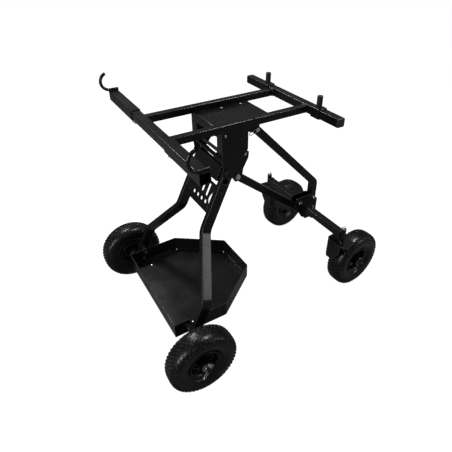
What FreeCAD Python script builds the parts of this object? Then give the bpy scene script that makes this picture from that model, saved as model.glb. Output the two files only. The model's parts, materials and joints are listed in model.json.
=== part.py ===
import FreeCAD, Part
import math
import os

# Folding four-wheel stand. +X runs from the cradle hooks to the upright pegs, +Y is left, +Z is up.
# The origin is on the floor, near the middle of the wheelbase and of the frame's width.
# All sizes are in millimetres.

V = FreeCAD.Vector
OUT = "parts"

# Wheels
WHEEL_R = 130.0
TYRE_W = 83.0
SHOULDER = 38.0
SQUARENESS = 0.6
RIM_R = 57.0
HUB_R = 22.0
HUB_LEN = 88.0
BEARING_R = 17.5
BEARING_W = 11.0
AXLE_R = 7.5
WASHER_R = 12.0
RUN_GAP = 0.05
REAR_X = -412.5
FRONT_X = 417.5
REAR_WHEEL_Y = {"left": 335.0, "right": 351.0}
FRONT_WHEEL_Y = 251.0

# Top frame
BASE_Z = 823.0
TUBE = 30.0
WALL = 2.2
RAIL = 25.0
RAIL_WALL = 2.0
RAIL_Y = 100.0
REAR_TUBE_X = -362.5
FRONT_TUBE_X = 180.5
TUBE_Z = BASE_Z + TUBE / 2
REAR_TUBE_Y = (-300.0, 316.0)
FRONT_HALF = 270.0
CAP_T = 6.0
SLIDE_GAP = 0.3

# Hook arms
ARM = 35.0
LEFT_ARM_Y = (143.0, 371.0)
RIGHT_ARM_Y = (-347.0, -127.0)
SCREW_IN = 14.0
HOOK_R = 25.5
HOOK_BAR_R = 5.5
HOOK_DX = -12.0
HOOK_FOOT = 29.0
HOOK_ANGLE = (109.0, 270.0)
HOOK_SEAT_R = 26.0

# Pegs on the front tube
PEG_Y = {"left": 141.0, "right": -158.0}
COLLAR_LEN = 40.0
COLLAR_T = 3.0
GRIP_R = 10.0
GRIP_Z = (861.0, 896.0)

# Saddle and side plates
SHEET = 4.0
SADDLE_X = (-174.5, 45.5)
SIDE_X = (-174.5, -73.5)
SIDE_Y = 104.0
WALL_Z = 744.0
PIVOT = (-154.0, 672.0)
PIVOT_R = 8.0
PIVOT_TUBE_R = 14.0
BOSS_R = 21.0

# Rear legs lie in a plane that leans back from the pivot to the rear axle
LEG_DEEP = 40.0
LEG_THIN = 20.0
LEG_Y = (93.0, 99.0, 257.0, 262.0)
LEG_S = (-18.0, 240.0, 447.0, 618.0)
LEG_BEND_R = 55.0
LEG_HEAD = (-143.5, 672.0)
LEG_FOOT = (-404.0, 130.0)
GUSSET_SLOT = ((88.0, 80.0), (98.0, 75.0), (110.0, 69.0), (124.0, 65.5), (136.0, 71.0), (148.0, 80.0))

# Tray
TRAY_X = (-451.0, -239.5, -56.0)
TRAY_Y = (225.0, 229.0, 95.0)
TRAY_Z = (130.0, 193.0)
TRAY_T = 2.0

# Front strut
HINGE = (-60.0, 585.0)
BAR = 30.0
BEAM_X = 306.5
BEAM_Z = 312.0
KING_Y = 260.0
KING_R = 6.0
HOUSING_R = 11.0
HOUSING_Z = (280.0, 343.0)
BRACE_X = 350.0
BRACE_BEND_Z = 427.0
BRACE_END_Z = 285.0
BRACE_PIN = (23.0, 758.0)
PIN_R = 5.0
CHEEK_T = 4.0
CHEEK_Y = 18.9
EYE_R = 16.5
LUG = (-32.0, 678.0)

# Casters
FORK_T = 5.0
FORK_X = (275.0, 346.0)
FORK_Z = (186.0, 276.0)
FORK_Y = (200.0, 305.0)
FORK_CORNER = 16.0
FORK_WALL_END = 278.0
SIDES = {"left": 1, "right": -1}
CASTER_TURN = {"left": 8.0, "right": 4.5}


def save(name, shape):
    """Write one node; several solids in a list stay separate inside it."""
    solids = shape if isinstance(shape, list) else [shape]
    clean = [s.removeSplitter() for s in solids]
    whole = clean[0] if len(clean) == 1 else Part.makeCompound(clean)
    whole.exportStep(os.path.join(OUT, name + ".step"))


def block(x, y, z):
    """Axis-aligned box from three (low, high) pairs."""
    return Part.makeBox(x[1] - x[0], y[1] - y[0], z[1] - z[0], V(x[0], y[0], z[0]))


def rod(radius, start, end):
    """Cylinder between two points."""
    a = V(*start)
    b = V(*end)
    return Part.makeCylinder(radius, (b - a).Length, a, b - a)


def rod_y(radius, x, z, y0, y1):
    return rod(radius, (x, y0, z), (x, y1, z))


def polygon(points):
    """Planar face through the points."""
    corners = [V(*p) for p in points]
    return Part.Face(Part.makePolygon(corners + corners[:1]))


def plate_y(points, y0, y1):
    """Plate cut to an outline in X and Z, between two Y values."""
    return polygon([(x, y0, z) for x, z in points]).extrude(V(0, y1 - y0, 0))


def round_rect(width, height, radius):
    """Rounded rectangle in the XY plane, centred on the origin."""
    a = width / 2 - radius
    b = height / 2 - radius
    edges = []
    corners = ((a, b, 0), (-a, b, 90), (-a, -b, 180), (a, -b, 270))
    for i, (cx, cy, turn) in enumerate(corners):
        nx, ny, _ = corners[(i + 1) % 4]
        arc = Part.Circle(V(cx, cy, 0), V(0, 0, 1), radius)
        edges.append(Part.Arc(arc, math.radians(turn), math.radians(turn + 90)).toShape())
        out = math.radians(turn + 90)
        step = V(radius * math.cos(out), radius * math.sin(out), 0)
        edges.append(Part.makeLine(V(cx, cy, 0) + step, V(nx, ny, 0) + step))
    return Part.Wire(edges)


def place(shape, origin, x_dir, z_dir):
    """Move a shape from the XY plane so that its X and Z axes take the given directions."""
    z = V(*z_dir).normalize()
    x = V(*x_dir)
    x = (x - z * x.dot(z)).normalize()
    y = z.cross(x)
    turn = FreeCAD.Rotation(x, y, z, "ZXY")
    moved = shape.copy()
    moved.Placement = FreeCAD.Placement(V(*origin), turn)
    return moved


def straight_tube(width, height, wall, start, end, x_dir, corner=2.5):
    """Rounded rectangular tube with open ends; width lies along x_dir."""
    a = V(*start)
    b = V(*end)
    inner_corner = max(corner - wall, 0.6)
    outer = Part.Face(round_rect(width, height, corner))
    inner = Part.Face(round_rect(width - 2 * wall, height - 2 * wall, inner_corner))
    bar = outer.cut(inner).Faces[0].extrude(V(0, 0, (b - a).Length))
    return place(bar, start, x_dir, tuple(b - a))


def bent_path(points, radii):
    """Wire of straight runs joined by tangent arcs at the inner points."""
    pts = [V(*p) for p in points]
    edges = []
    last = pts[0]
    for before, corner, after, radius in zip(pts, pts[1:], pts[2:], radii):
        into = (corner - before).normalize()
        out = (after - corner).normalize()
        half = into.getAngle(out) / 2
        cut = radius * math.tan(half)
        first = corner - into * cut
        final = corner + out * cut
        middle_dir = (out - into).normalize()
        middle = corner + middle_dir * (radius / math.cos(half) - radius)
        edges.append(Part.makeLine(last, first))
        edges.append(Part.Arc(first, middle, final).toShape())
        last = final
    edges.append(Part.makeLine(last, pts[-1]))
    return Part.Wire(edges)


def bent_tube(points, radii, width, height, wall, x_dir, corner=2.5):
    """Rounded rectangular tube along a bent path, open at both ends."""
    path = bent_path(points, radii)
    start = points[0]
    ahead = tuple(V(*points[1]) - V(*points[0]))
    skins = []
    for shrink, edge in ((0.0, corner), (wall, max(corner - wall, 0.6))):
        section = round_rect(width - 2 * shrink, height - 2 * shrink, edge)
        skins.append(path.makePipeShell([place(section, start, x_dir, ahead)], True, False))
    return skins[0].cut(skins[1])


def mirror_y(shape):
    return shape.mirror(V(0, 0, 0), V(0, 1, 0))


def hex_prism(radius, height, origin, direction):
    """Six-sided nut or bolt head; radius is to the corners."""
    ring = [V(radius * math.cos(math.radians(60 * i)), radius * math.sin(math.radians(60 * i)), 0)
            for i in range(6)]
    solid = Part.Face(Part.makePolygon(ring + ring[:1])).extrude(V(0, 0, height))
    side = (1, 0, 0) if abs(direction[0]) < 0.9 else (0, 1, 0)
    return place(solid, origin, side, direction)


# ---------------------------------------------------------------- top frame

def top_frame():
    section_x = (1, 0, 0)
    save("rear_cross_tube", straight_tube(TUBE, TUBE, WALL, (REAR_TUBE_X, REAR_TUBE_Y[0], TUBE_Z),
                                          (REAR_TUBE_X, REAR_TUBE_Y[1], TUBE_Z), section_x))
    rail_z = BASE_Z + RAIL / 2
    for name, side in (("left", 1), ("right", -1)):
        start = (REAR_TUBE_X + TUBE / 2, side * RAIL_Y, rail_z)
        end = (FRONT_TUBE_X - TUBE / 2, side * RAIL_Y, rail_z)
        save(name + "_rail", straight_tube(RAIL, RAIL, RAIL_WALL, start, end, (0, 1, 0)))
    tube_end = FRONT_HALF - CAP_T
    save("front_cross_tube", straight_tube(TUBE, TUBE, WALL, (FRONT_TUBE_X, -tube_end, TUBE_Z),
                                           (FRONT_TUBE_X, tube_end, TUBE_Z), section_x))
    caps = []
    for side in (1, -1):
        head = Part.Face(round_rect(TUBE, TUBE, 4.0)).extrude(V(0, 0, CAP_T))
        head = head.makeFillet(2.0, [e for e in head.Edges if e.BoundBox.ZMin > CAP_T - 0.1])
        plug_w = TUBE - 2 * WALL - 0.4
        plug = Part.Face(round_rect(plug_w, plug_w, 1.0)).extrude(V(0, 0, -18.0))
        caps.append(place(head.fuse(plug), (FRONT_TUBE_X, side * tube_end, TUBE_Z),
                          (1, 0, 0), (0, side, 0)))
    save("front_tube_caps", caps)


def wing_screw(y):
    """Wing screw through a nut under a sleeve, its tip just short of the tube inside."""
    tip = BASE_Z - SLIDE_GAP
    nut_top = TUBE_Z - ARM / 2
    nut = hex_prism(8.0, 5.0, (REAR_TUBE_X, y, nut_top - 5.0), (0, 0, 1))
    shank = rod(3.0, (REAR_TUBE_X, y, nut_top - 14.0), (REAR_TUBE_X, y, tip))
    hub = rod(5.0, (REAR_TUBE_X, y, nut_top - 18.0), (REAR_TUBE_X, y, nut_top - 10.0))
    wings = plate_y([(-4.0, -10.5), (-12.0, -8.5), (-13.0, -13.0), (-4.0, -18.0),
                     (4.0, -18.0), (13.0, -13.0), (12.0, -8.5), (4.0, -10.5)], -1.2, 1.2)
    wings.rotate(V(0, 0, 0), V(0, 0, 1), -41.0)
    wings.translate(V(REAR_TUBE_X, y, nut_top))
    return nut.fuse(shank).fuse(hub).fuse(wings)


def hook(y, top_z):
    """Open cradle bent from round bar, with a narrow flat on its inside where the kart axle rests."""
    bend = HOOK_R + HOOK_BAR_R
    foot = V(REAR_TUBE_X + HOOK_DX, y, top_z + HOOK_BAR_R)
    end = foot + V(HOOK_FOOT, 0, 0)
    circle = Part.Circle(foot + V(0, 0, bend), V(0, -1, 0), bend)
    circle.XAxis = V(1, 0, 0)
    first, last = (math.radians(a) for a in HOOK_ANGLE)
    path = Part.Wire([Part.makeLine(end, foot), Part.Arc(circle, first, last).toShape()])
    section = Part.Wire([Part.Circle(end, V(1, 0, 0), HOOK_BAR_R).toShape()])
    bar = path.makePipeShell([section], True, False)
    weld = block((foot.x + 2.0, end.x - 2.0), (y - 4.0, y + 4.0), (top_z, top_z + 2.5))
    seat = rod_y(HOOK_SEAT_R, foot.x, foot.z + bend, y - 20.0, y + 20.0)
    return bar.cut(seat).fuse(weld)


def hook_arms():
    """Sleeves over both ends of the rear cross tube, each with its hook and wing screw."""
    bore_wall = (ARM - TUBE) / 2 - SLIDE_GAP
    top_z = TUBE_Z + ARM / 2
    for name, (low, high), hook_y, screw_y in (
            ("left", LEFT_ARM_Y, LEFT_ARM_Y[1] - HOOK_BAR_R, LEFT_ARM_Y[0] + SCREW_IN),
            ("right", RIGHT_ARM_Y, RIGHT_ARM_Y[0] + HOOK_BAR_R, RIGHT_ARM_Y[1] - SCREW_IN)):
        sleeve = straight_tube(ARM, ARM, bore_wall, (REAR_TUBE_X, low, TUBE_Z),
                               (REAR_TUBE_X, high, TUBE_Z), (1, 0, 0), 3.0)
        screw_hole = rod(3.1, (REAR_TUBE_X, screw_y, BASE_Z - 20), (REAR_TUBE_X, screw_y, BASE_Z + 0.2))
        save(name + "_hook_arm", sleeve.cut(screw_hole))
        save(name + "_hook", hook(hook_y, top_z))
        save(name + "_arm_screw", wing_screw(screw_y))


def pegs():
    outer = TUBE + 2 * SLIDE_GAP + 2 * COLLAR_T
    inner = TUBE + 2 * SLIDE_GAP
    for name, y in PEG_Y.items():
        sleeve = straight_tube(outer, outer, COLLAR_T, (FRONT_TUBE_X, y - COLLAR_LEN / 2, TUBE_Z),
                               (FRONT_TUBE_X, y + COLLAR_LEN / 2, TUBE_Z), (1, 0, 0), 3.5)
        top = TUBE_Z + outer / 2
        post = rod(6.0, (FRONT_TUBE_X, y, top - 1.0), (FRONT_TUBE_X, y, GRIP_Z[1] - 4.0))
        tab = block((FRONT_TUBE_X - 6, FRONT_TUBE_X + 10),
                    (y - COLLAR_LEN / 2 - 8, y - COLLAR_LEN / 2 + 4), (top - COLLAR_T, top + 0.5))
        tab = tab.cut(block((FRONT_TUBE_X - 20, FRONT_TUBE_X + 20), (y - 60, y + 60),
                            (BASE_Z, TUBE_Z + inner / 2)))
        save(name + "_peg_collar", sleeve.fuse(post).fuse(tab))
        grip = rod(GRIP_R, (FRONT_TUBE_X, y, GRIP_Z[0]), (FRONT_TUBE_X, y, GRIP_Z[1]))
        grip = grip.makeFillet(2.5, [e for e in grip.Edges if e.BoundBox.ZMin > GRIP_Z[1] - 0.1])
        grip = grip.cut(rod(6.0, (FRONT_TUBE_X, y, GRIP_Z[0] - 1), (FRONT_TUBE_X, y, GRIP_Z[1] - 4.0)))
        save(name + "_peg_grip", grip)


# ---------------------------------------------------------------- saddle

def side_plate(side):
    """Tapered plate from the rail down to a rounded boss at the leg pivot."""
    x0, x1 = SIDE_X
    px, pz = PIVOT
    outline = [(x0, BASE_Z), (x1, BASE_Z), (x1, WALL_Z), (px + BOSS_R * 0.80, pz - BOSS_R * 0.60),
               (px - BOSS_R * 0.72, pz - BOSS_R * 0.2), (x0, WALL_Z - 20.0)]
    y0, y1 = sorted((side * SIDE_Y, side * (SIDE_Y + SHEET)))
    plate = plate_y(outline, y0, y1).fuse(rod_y(BOSS_R, px, pz, y0, y1))
    plate = plate.cut(rod_y(PIVOT_R, px, pz, y0 - 1, y1 + 1))
    return plate


def saddle():
    x0, x1 = SADDLE_X
    half = RAIL_Y - RAIL / 2
    deck = block((x0, x1), (-half, half), (BASE_Z, BASE_Z + SHEET))
    lip = block((x0, x0 + SHEET), (-SIDE_Y, SIDE_Y), (WALL_Z, BASE_Z))
    window = block((x0 - 1, x0 + SHEET + 1), (-73.0, 73.0), (WALL_Z + 13.0, BASE_Z - 26.0))
    round_edge = deck.fuse(lip)
    corner = [e for e in round_edge.Edges
              if e.BoundBox.XMax < x0 + 0.1 and e.BoundBox.ZMin > BASE_Z + SHEET - 0.1]
    plate = round_edge.makeFillet(3.0, corner).cut(window)
    for x in (-142.0, -68.0, 14.0):
        for side in (1, -1):
            plate = plate.cut(rod(7.0, (x, side * 79.0, BASE_Z - 1), (x, side * 79.0, BASE_Z + SHEET + 1)))
    save("saddle_plate", plate)
    save("left_side_plate", side_plate(1))
    save("right_side_plate", side_plate(-1))
    rear_bar = rod_y(7.0, PIVOT[0] - 10.0, PIVOT[1] + 44.0, -SIDE_Y, SIDE_Y)
    front_bar = straight_tube(RAIL, RAIL, RAIL_WALL, (-92.0, -SIDE_Y, 770.0), (-92.0, SIDE_Y, 770.0), (1, 0, 0))
    save("spacer_bars", [rear_bar, front_bar])
    heads = []
    for side in (1, -1):
        y = side * (SIDE_Y + SHEET)
        heads.append(hex_prism(4.5, 3.0, (x0 + 12.0, y, BASE_Z - 12.0), (0, side, 0)))
    save("side_plate_bolts", heads)


def strut_bracket():
    """Two cheeks welded across the leg heads; the strut's lower bar hinges between them."""
    hx, hz = HINGE
    px, pz = PIVOT
    outline = [(px + 18.0, pz + 12.0), (-62.0, 700.0), (-36.0, 699.0), (-12.0, 680.0), (-14.0, 656.0),
               (hx + 24.0, 616.0), (hx + 18.0, hz - 6.0), (hx + 6.0, hz - 18.0), (hx - 12.0, hz - 17.0),
               (hx - 26.0, hz + 6.0), (px + 8.0, pz - 48.0)]
    cheeks = []
    for side in (1, -1):
        y0, y1 = sorted((side * CHEEK_Y, side * (CHEEK_Y + CHEEK_T)))
        cheek = plate_y(outline, y0, y1)
        cheek = cheek.cut(rod_y(PIVOT_TUBE_R, px, pz, y0 - 1, y1 + 1))
        cheek = cheek.cut(rod_y(PIN_R, hx, hz, y0 - 1, y1 + 1))
        cheek = cheek.cut(rod_y(4.0, LUG[0], LUG[1], y0 - 1, y1 + 1))
        cheeks.append(cheek.cut(leg_box((37.0 - 12.5, 37.0 + 12.5), (y0 - 1, y1 + 1), (-12.5, 12.5))))
    lug_bolt = rod_y(4.0, LUG[0], LUG[1], -CHEEK_Y - CHEEK_T, CHEEK_Y + CHEEK_T)
    for side in (1, -1):
        face = side * (CHEEK_Y + CHEEK_T)
        lug_bolt = lug_bolt.fuse(hex_prism(7.5, 5.0, (LUG[0], face, LUG[1]), (0, side, 0)))
    lug_tube = rod_y(9.0, LUG[0], LUG[1], -CHEEK_Y, CHEEK_Y).cut(rod_y(4.0, LUG[0], LUG[1], -60, 60))
    save("strut_bracket", [cheeks[0], cheeks[1], lug_tube])
    save("strut_bracket_bolt", lug_bolt)


def brace_bracket():
    """Ears under the saddle; the pin pocket opens along both arcs that the brace pin can follow."""
    px, pz = BRACE_PIN
    room = PIN_R + 0.3
    arcs = []
    for cx, cz in (HINGE, PIVOT):
        length = math.hypot(px - cx, pz - cz)
        arcs.append(((pz - cz) / length, -(px - cx) / length))
    (ax, az), (bx, bz) = arcs
    reach = 90.0
    top = (px - az * room, pz + ax * room)
    rear = (px + bz * room, pz - bx * room)
    mouth = [top, (top[0] + ax * reach, top[1] + az * reach), (px + ax * reach, pz + az * reach - reach),
             (rear[0] + bx * reach, rear[1] + bz * reach), rear, (px, pz)]
    ears = []
    for side in (1, -1):
        y0, y1 = sorted((side * (BAR / 2 + 0.5), side * (BAR / 2 + 0.5 + CHEEK_T)))
        ear = plate_y([(-14.0, BASE_Z), (26.0, BASE_Z), (33.0, 812.0), (33.0, 749.0), (12.0, 746.0),
                       (-14.0, 757.0)], y0, y1)
        ear = ear.cut(plate_y(mouth, y0 - 1, y1 + 1)).cut(rod_y(room, px, pz, y0 - 1, y1 + 1))
        ears.append(max(ear.Solids, key=lambda solid: solid.Volume))
    bridge = block((-14.0, -11.0), (-BAR / 2 - 0.5, BAR / 2 + 0.5), (775.0, BASE_Z))
    save("brace_bracket", ears[0].fuse(bridge).fuse(ears[1]))


# ---------------------------------------------------------------- rear legs

def leg_frame():
    """Directions down the leaning leg plane and square to it."""
    down = V(LEG_FOOT[0] - LEG_HEAD[0], 0, LEG_FOOT[1] - LEG_HEAD[1]).normalize()
    normal = V(-down.z, 0, down.x)
    return down, normal


def on_leg(s, y, w=0.0):
    """Point at s down the legs, y across and w in front of their middle."""
    down, normal = leg_frame()
    return tuple(V(LEG_HEAD[0], y, LEG_HEAD[1]) + down * s + normal * w)


def leg_box(s, y, w):
    """Box aligned with the leg plane from three (low, high) pairs."""
    down, normal = leg_frame()
    solid = Part.makeBox(w[1] - w[0], y[1] - y[0], s[1] - s[0])
    x_dir = tuple(normal)
    z_dir = tuple(down)
    across = down.cross(normal)
    corner = on_leg(s[0], y[0] if across.y > 0 else y[1], w[0])
    return place(solid, corner, x_dir, z_dir)


def rear_leg(side):
    points = [on_leg(s, side * y) for s, y in zip(LEG_S, LEG_Y)]
    normal = tuple(leg_frame()[1])
    leg = bent_tube(points, (LEG_BEND_R, LEG_BEND_R), LEG_DEEP, LEG_THIN, RAIL_WALL, normal)
    leg = leg.cut(rod_y(PIVOT_R + RUN_GAP, PIVOT[0], PIVOT[1], side * 60, side * 130))
    leg = leg.cut(leg_box((37.0 - 12.7, 37.0 + 12.7), tuple(sorted((side * 70, side * 130))), (-12.7, 12.7)))
    leg = leg.cut(rod_y(AXLE_R + 0.1, REAR_X, WHEEL_R, side * 230, side * 290))
    return leg


def gusset():
    """Plate between the legs, lightened by slots, a row of round holes and a curved opening by each leg."""
    half = LEG_Y[0] - LEG_THIN / 2 + 0.5
    plate = leg_box((64.0, 173.0), (-half, half), (-17.0, -13.0))
    down, normal = leg_frame()
    for i in range(4):
        y = -48.0 + 32.0 * i
        cutter = leg_box((74.0, 116.0 - 4.0 * i), (y - 7.0, y + 7.0), (-20.0, -10.0))
        plate = plate.cut(cutter)
        end = on_leg(116.0 - 4.0 * i, y, -20.0)
        plate = plate.cut(Part.makeCylinder(7.0, 12.0, V(*end), normal))
    for i in range(5):
        centre = on_leg(142.0, -56.0 + 28.0 * i, -20.0)
        plate = plate.cut(Part.makeCylinder(7.5, 12.0, V(*centre), normal))
    for side in (1, -1):
        opening = [on_leg(s, side * y, -20.0) for s, y in GUSSET_SLOT]
        plate = plate.cut(polygon(opening).extrude(normal * 12.0))
    return plate


def head_channel():
    """Folded stiffener across the backs of the two leg heads, seated on the pivot and cross tubes."""
    inner = LEG_Y[0] - LEG_THIN / 2 - 0.2
    reach = (-6.0, 48.0)
    back = leg_box(reach, (-inner, inner), (-26.0, -22.0))
    channel = back
    for side in (1, -1):
        cheek_y = tuple(sorted((side * inner, side * (inner - 4.0))))
        channel = channel.fuse(leg_box(reach, cheek_y, (-22.0, 4.0)))
    channel = channel.cut(rod_y(PIVOT_TUBE_R, PIVOT[0], PIVOT[1], -120, 120))
    return channel.cut(leg_box((37.0 - 12.5, 37.0 + 12.5), (-120.0, 120.0), (-12.5, 12.5)))


def tray_outline(inset, z):
    """Six corners of the tray, moved inwards by the sheet thickness."""
    xr, xm, xf = TRAY_X
    yr, ym, yf = TRAY_Y
    return [(xr + inset, yr - inset, z), (xm, ym - inset, z), (xf - inset, yf - inset * 0.6, z),
            (xf - inset, -yf + inset * 0.6, z), (xm, -ym + inset, z), (xr + inset, -yr + inset, z)]


def tray():
    low, high = TRAY_Z
    outer = polygon(tray_outline(0.0, low)).extrude(V(0, 0, high - low))
    hollow = polygon(tray_outline(TRAY_T, low + TRAY_T)).extrude(V(0, 0, high - low))
    body = outer.cut(hollow)
    for x, y, _ in tray_outline(9.0, low):
        body = body.cut(rod(2.5, (x, y, low - 1), (x, y, low + TRAY_T + 1)))
    return body


def rear_legs():
    for name, side in (("left", 1), ("right", -1)):
        save(name + "_rear_leg", rear_leg(side))
    outer_y = LEG_Y[0] + LEG_THIN / 2
    down, normal = leg_frame()
    start = on_leg(37.0, -outer_y)
    end = on_leg(37.0, outer_y)
    save("leg_cross_tube", straight_tube(RAIL, RAIL, RAIL_WALL, start, end, tuple(normal)))
    inner_y = LEG_Y[0] - LEG_THIN / 2 - 0.5
    tube = rod_y(PIVOT_TUBE_R, PIVOT[0], PIVOT[1], -inner_y, inner_y)
    save("pivot_tube", tube.cut(rod_y(PIVOT_R + RUN_GAP, PIVOT[0], PIVOT[1], -150, 150)))
    save("leg_head_channel", head_channel())
    save("gusset_plate", gusset())
    save("tray", tray())
    fixings()
    axle_stubs()
    strut_bracket()


def leg_inner_face(s):
    """Half width between the legs' inner faces on the lowest straight run."""
    share = (s - LEG_S[2]) / (LEG_S[3] - LEG_S[2])
    return LEG_Y[2] + share * (LEG_Y[3] - LEG_Y[2]) - LEG_THIN / 2


def fixings():
    """Spacers and bolts that hold the tray to the legs."""
    pieces = []
    for side in (1, -1):
        for s in (548.0, 582.0):
            x, _, z = on_leg(s, 0.0)
            wall_y = TRAY_Y[0] + (TRAY_Y[1] - TRAY_Y[0]) * (x - TRAY_X[0]) / (TRAY_X[1] - TRAY_X[0])
            pieces.append(rod_y(8.0, x, z, side * (wall_y + 0.3), side * (leg_inner_face(s) - 0.2)))
            pieces.append(hex_prism(7.0, 5.0, (x, side * (wall_y - TRAY_T - 0.3), z), (0, -side, 0)))
    save("tray_fixings", pieces)


def hairpin(x, y, z, angle):
    """R-shaped retaining clip: one leg through the axle, one outside it, joined by a bend."""
    wire_r = 1.5
    a = math.radians(angle)
    along = V(math.cos(a), 0, math.sin(a))
    across = V(-math.sin(a), 0, math.cos(a))
    gap = AXLE_R + wire_r + 0.6
    base = V(x, y, z)
    p0 = base - along * 26
    p1 = base + along * 40
    p2 = p1 + along * (gap / 2) + across * (gap / 2)
    p3 = p1 + across * gap
    p4 = base + across * gap - along * 20
    path = Part.Wire([Part.makeLine(p0, p1), Part.Arc(p1, p2, p3).toShape(), Part.makeLine(p3, p4)])
    section = Part.Wire([Part.Circle(p0, along, wire_r).toShape()])
    return path.makePipeShell([section], True, False)


def pinned_axle(x, z, y_in, y_out, clip_y, angle):
    """Stub axle with a collar at its root and a cross hole near its free end."""
    axle = rod_y(AXLE_R, x, z, y_in, y_out)
    a = math.radians(angle)
    along = (math.cos(a), math.sin(a))
    hole = rod(1.7, (x - 20 * along[0], clip_y, z - 20 * along[1]), (x + 20 * along[0], clip_y, z + 20 * along[1]))
    return axle.cut(hole)


def washer(x, z, y, thickness):
    """Ring washer beside a wheel hub; positive thickness goes towards +Y."""
    ring = rod_y(WASHER_R, x, z, y, y + thickness)
    return ring.cut(rod_y(AXLE_R + 0.1, x, z, y - 5 * thickness, y + 5 * thickness))


def axle_stubs():
    stubs = []
    clips = []
    for name, side in SIDES.items():
        wheel_y = REAR_WHEEL_Y[name]
        leg_inner = side * (LEG_Y[3] - LEG_THIN / 2 - 2.0)
        outer = side * (wheel_y + HUB_LEN / 2 + 17.0)
        clip_y = side * (wheel_y + HUB_LEN / 2 + 8.0)
        axle = pinned_axle(REAR_X, WHEEL_R, leg_inner, outer, clip_y, 235.0)
        inner_hub = side * (wheel_y - HUB_LEN / 2 - 0.8)
        leg_outer = side * (LEG_Y[3] + LEG_THIN / 2)
        collar = rod_y(12.0, REAR_X, WHEEL_R, leg_outer + side * 1.0, inner_hub)
        stubs.append(axle.fuse(collar))
        clips.append(washer(REAR_X, WHEEL_R, side * (wheel_y + HUB_LEN / 2 + 0.8), side * 3.0))
        clips.append(hairpin(REAR_X, clip_y, WHEEL_R, 235.0))
    save("rear_axle_stubs", stubs)
    save("rear_axle_clips", clips)


# ---------------------------------------------------------------- wheels

def ring_solid(profile, x, y, z):
    """Turn a closed outline of (radius, offset along Y) about a wheel's axle."""
    face = polygon([(x + r, y + w, z) for r, w in profile])
    return face.revolve(V(x, y, z), V(0, 1, 0), 360)


def tyre_profile():
    """Outer crown, rounded shoulders and sidewalls of the pneumatic tyre, with its hollow."""
    half = TYRE_W / 2
    outer = []
    for i in range(-12, 13):
        angle = math.radians(90) * i / 12.0
        w = half * math.copysign(abs(math.sin(angle)) ** SQUARENESS, i)
        outer.append((WHEEL_R - SHOULDER * (1 - abs(math.cos(angle)) ** SQUARENESS), w))
    sidewall = [(RIM_R + 14.0, half * 0.86), (RIM_R + 1.0, half * 0.65)]
    bead = [(RIM_R - 6.0, half * 0.59), (RIM_R - 6.0, half * 0.46)]
    cavity = [(RIM_R + 16.0, half * 0.74), (WHEEL_R - 30.0, half * 0.80), (WHEEL_R - 14.0, half * 0.52),
              (WHEEL_R - 10.0, 0.0)]
    right = sidewall + bead + cavity
    left = [(r, -w) for r, w in right]
    return outer + right + left[::-1][1:]


def wheel_pieces(x, y):
    """Tyre, rim and the two bearings of one wheel."""
    z = WHEEL_R
    tyre = ring_solid(tyre_profile(), x, y, z)
    half = HUB_LEN / 2
    seat = TYRE_W / 2 * 0.46
    lip = TYRE_W / 2 * 0.64
    drum = RIM_R - 6.3
    rim = [(HUB_R - 6.0, half - BEARING_W), (BEARING_R, half - BEARING_W), (BEARING_R, half), (HUB_R, half),
           (HUB_R, 4.0), (drum - 3.0, 2.0), (drum - 3.0, lip), (RIM_R + 1.0, lip + 4.0),
           (RIM_R + 1.0, lip + 1.0), (drum, lip - 1.5), (drum, -lip + 1.5), (RIM_R + 1.0, -lip - 1.0),
           (RIM_R + 1.0, -lip - 4.0), (drum - 3.0, -lip), (drum - 3.0, -2.0), (HUB_R, -4.0), (HUB_R, -half),
           (BEARING_R, -half), (BEARING_R, -half + BEARING_W), (HUB_R - 6.0, -half + BEARING_W)]
    body = ring_solid(rim, x, y, z)
    for i in range(5):
        a = math.radians(72 * i + 18)
        cx = x + 37.0 * math.cos(a)
        cz = z + 37.0 * math.sin(a)
        body = body.cut(rod_y(4.5, cx, cz, y - 8, y + 8))
    races = []
    for side in (1, -1):
        outer_y = y + side * half
        inner_y = outer_y - side * BEARING_W
        race = rod_y(BEARING_R, x, z, inner_y, outer_y)
        races.append(race.cut(rod_y(AXLE_R + RUN_GAP, x, z, inner_y - side * 20, outer_y + side * 20)))
    return tyre, body, races


def swivelled(shape, name):
    """Copy of a caster part, turned about its kingpin to the heading it rests at."""
    moved = shape.copy()
    moved.rotate(V(BEAM_X, SIDES[name] * KING_Y, 0), V(0, 0, 1), CASTER_TURN[name])
    return moved


def wheels():
    for name, side in SIDES.items():
        tyre, rim, races = wheel_pieces(REAR_X, side * REAR_WHEEL_Y[name])
        save("rear_" + name + "_tyre", tyre)
        save("rear_" + name + "_rim", rim)
        save("rear_" + name + "_bearings", races)
        tyre, rim, races = wheel_pieces(FRONT_X, side * FRONT_WHEEL_Y)
        save("front_" + name + "_tyre", swivelled(tyre, name))
        save("front_" + name + "_rim", swivelled(rim, name))
        save("front_" + name + "_bearings", [swivelled(race, name) for race in races])


# ---------------------------------------------------------------- front strut

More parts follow.
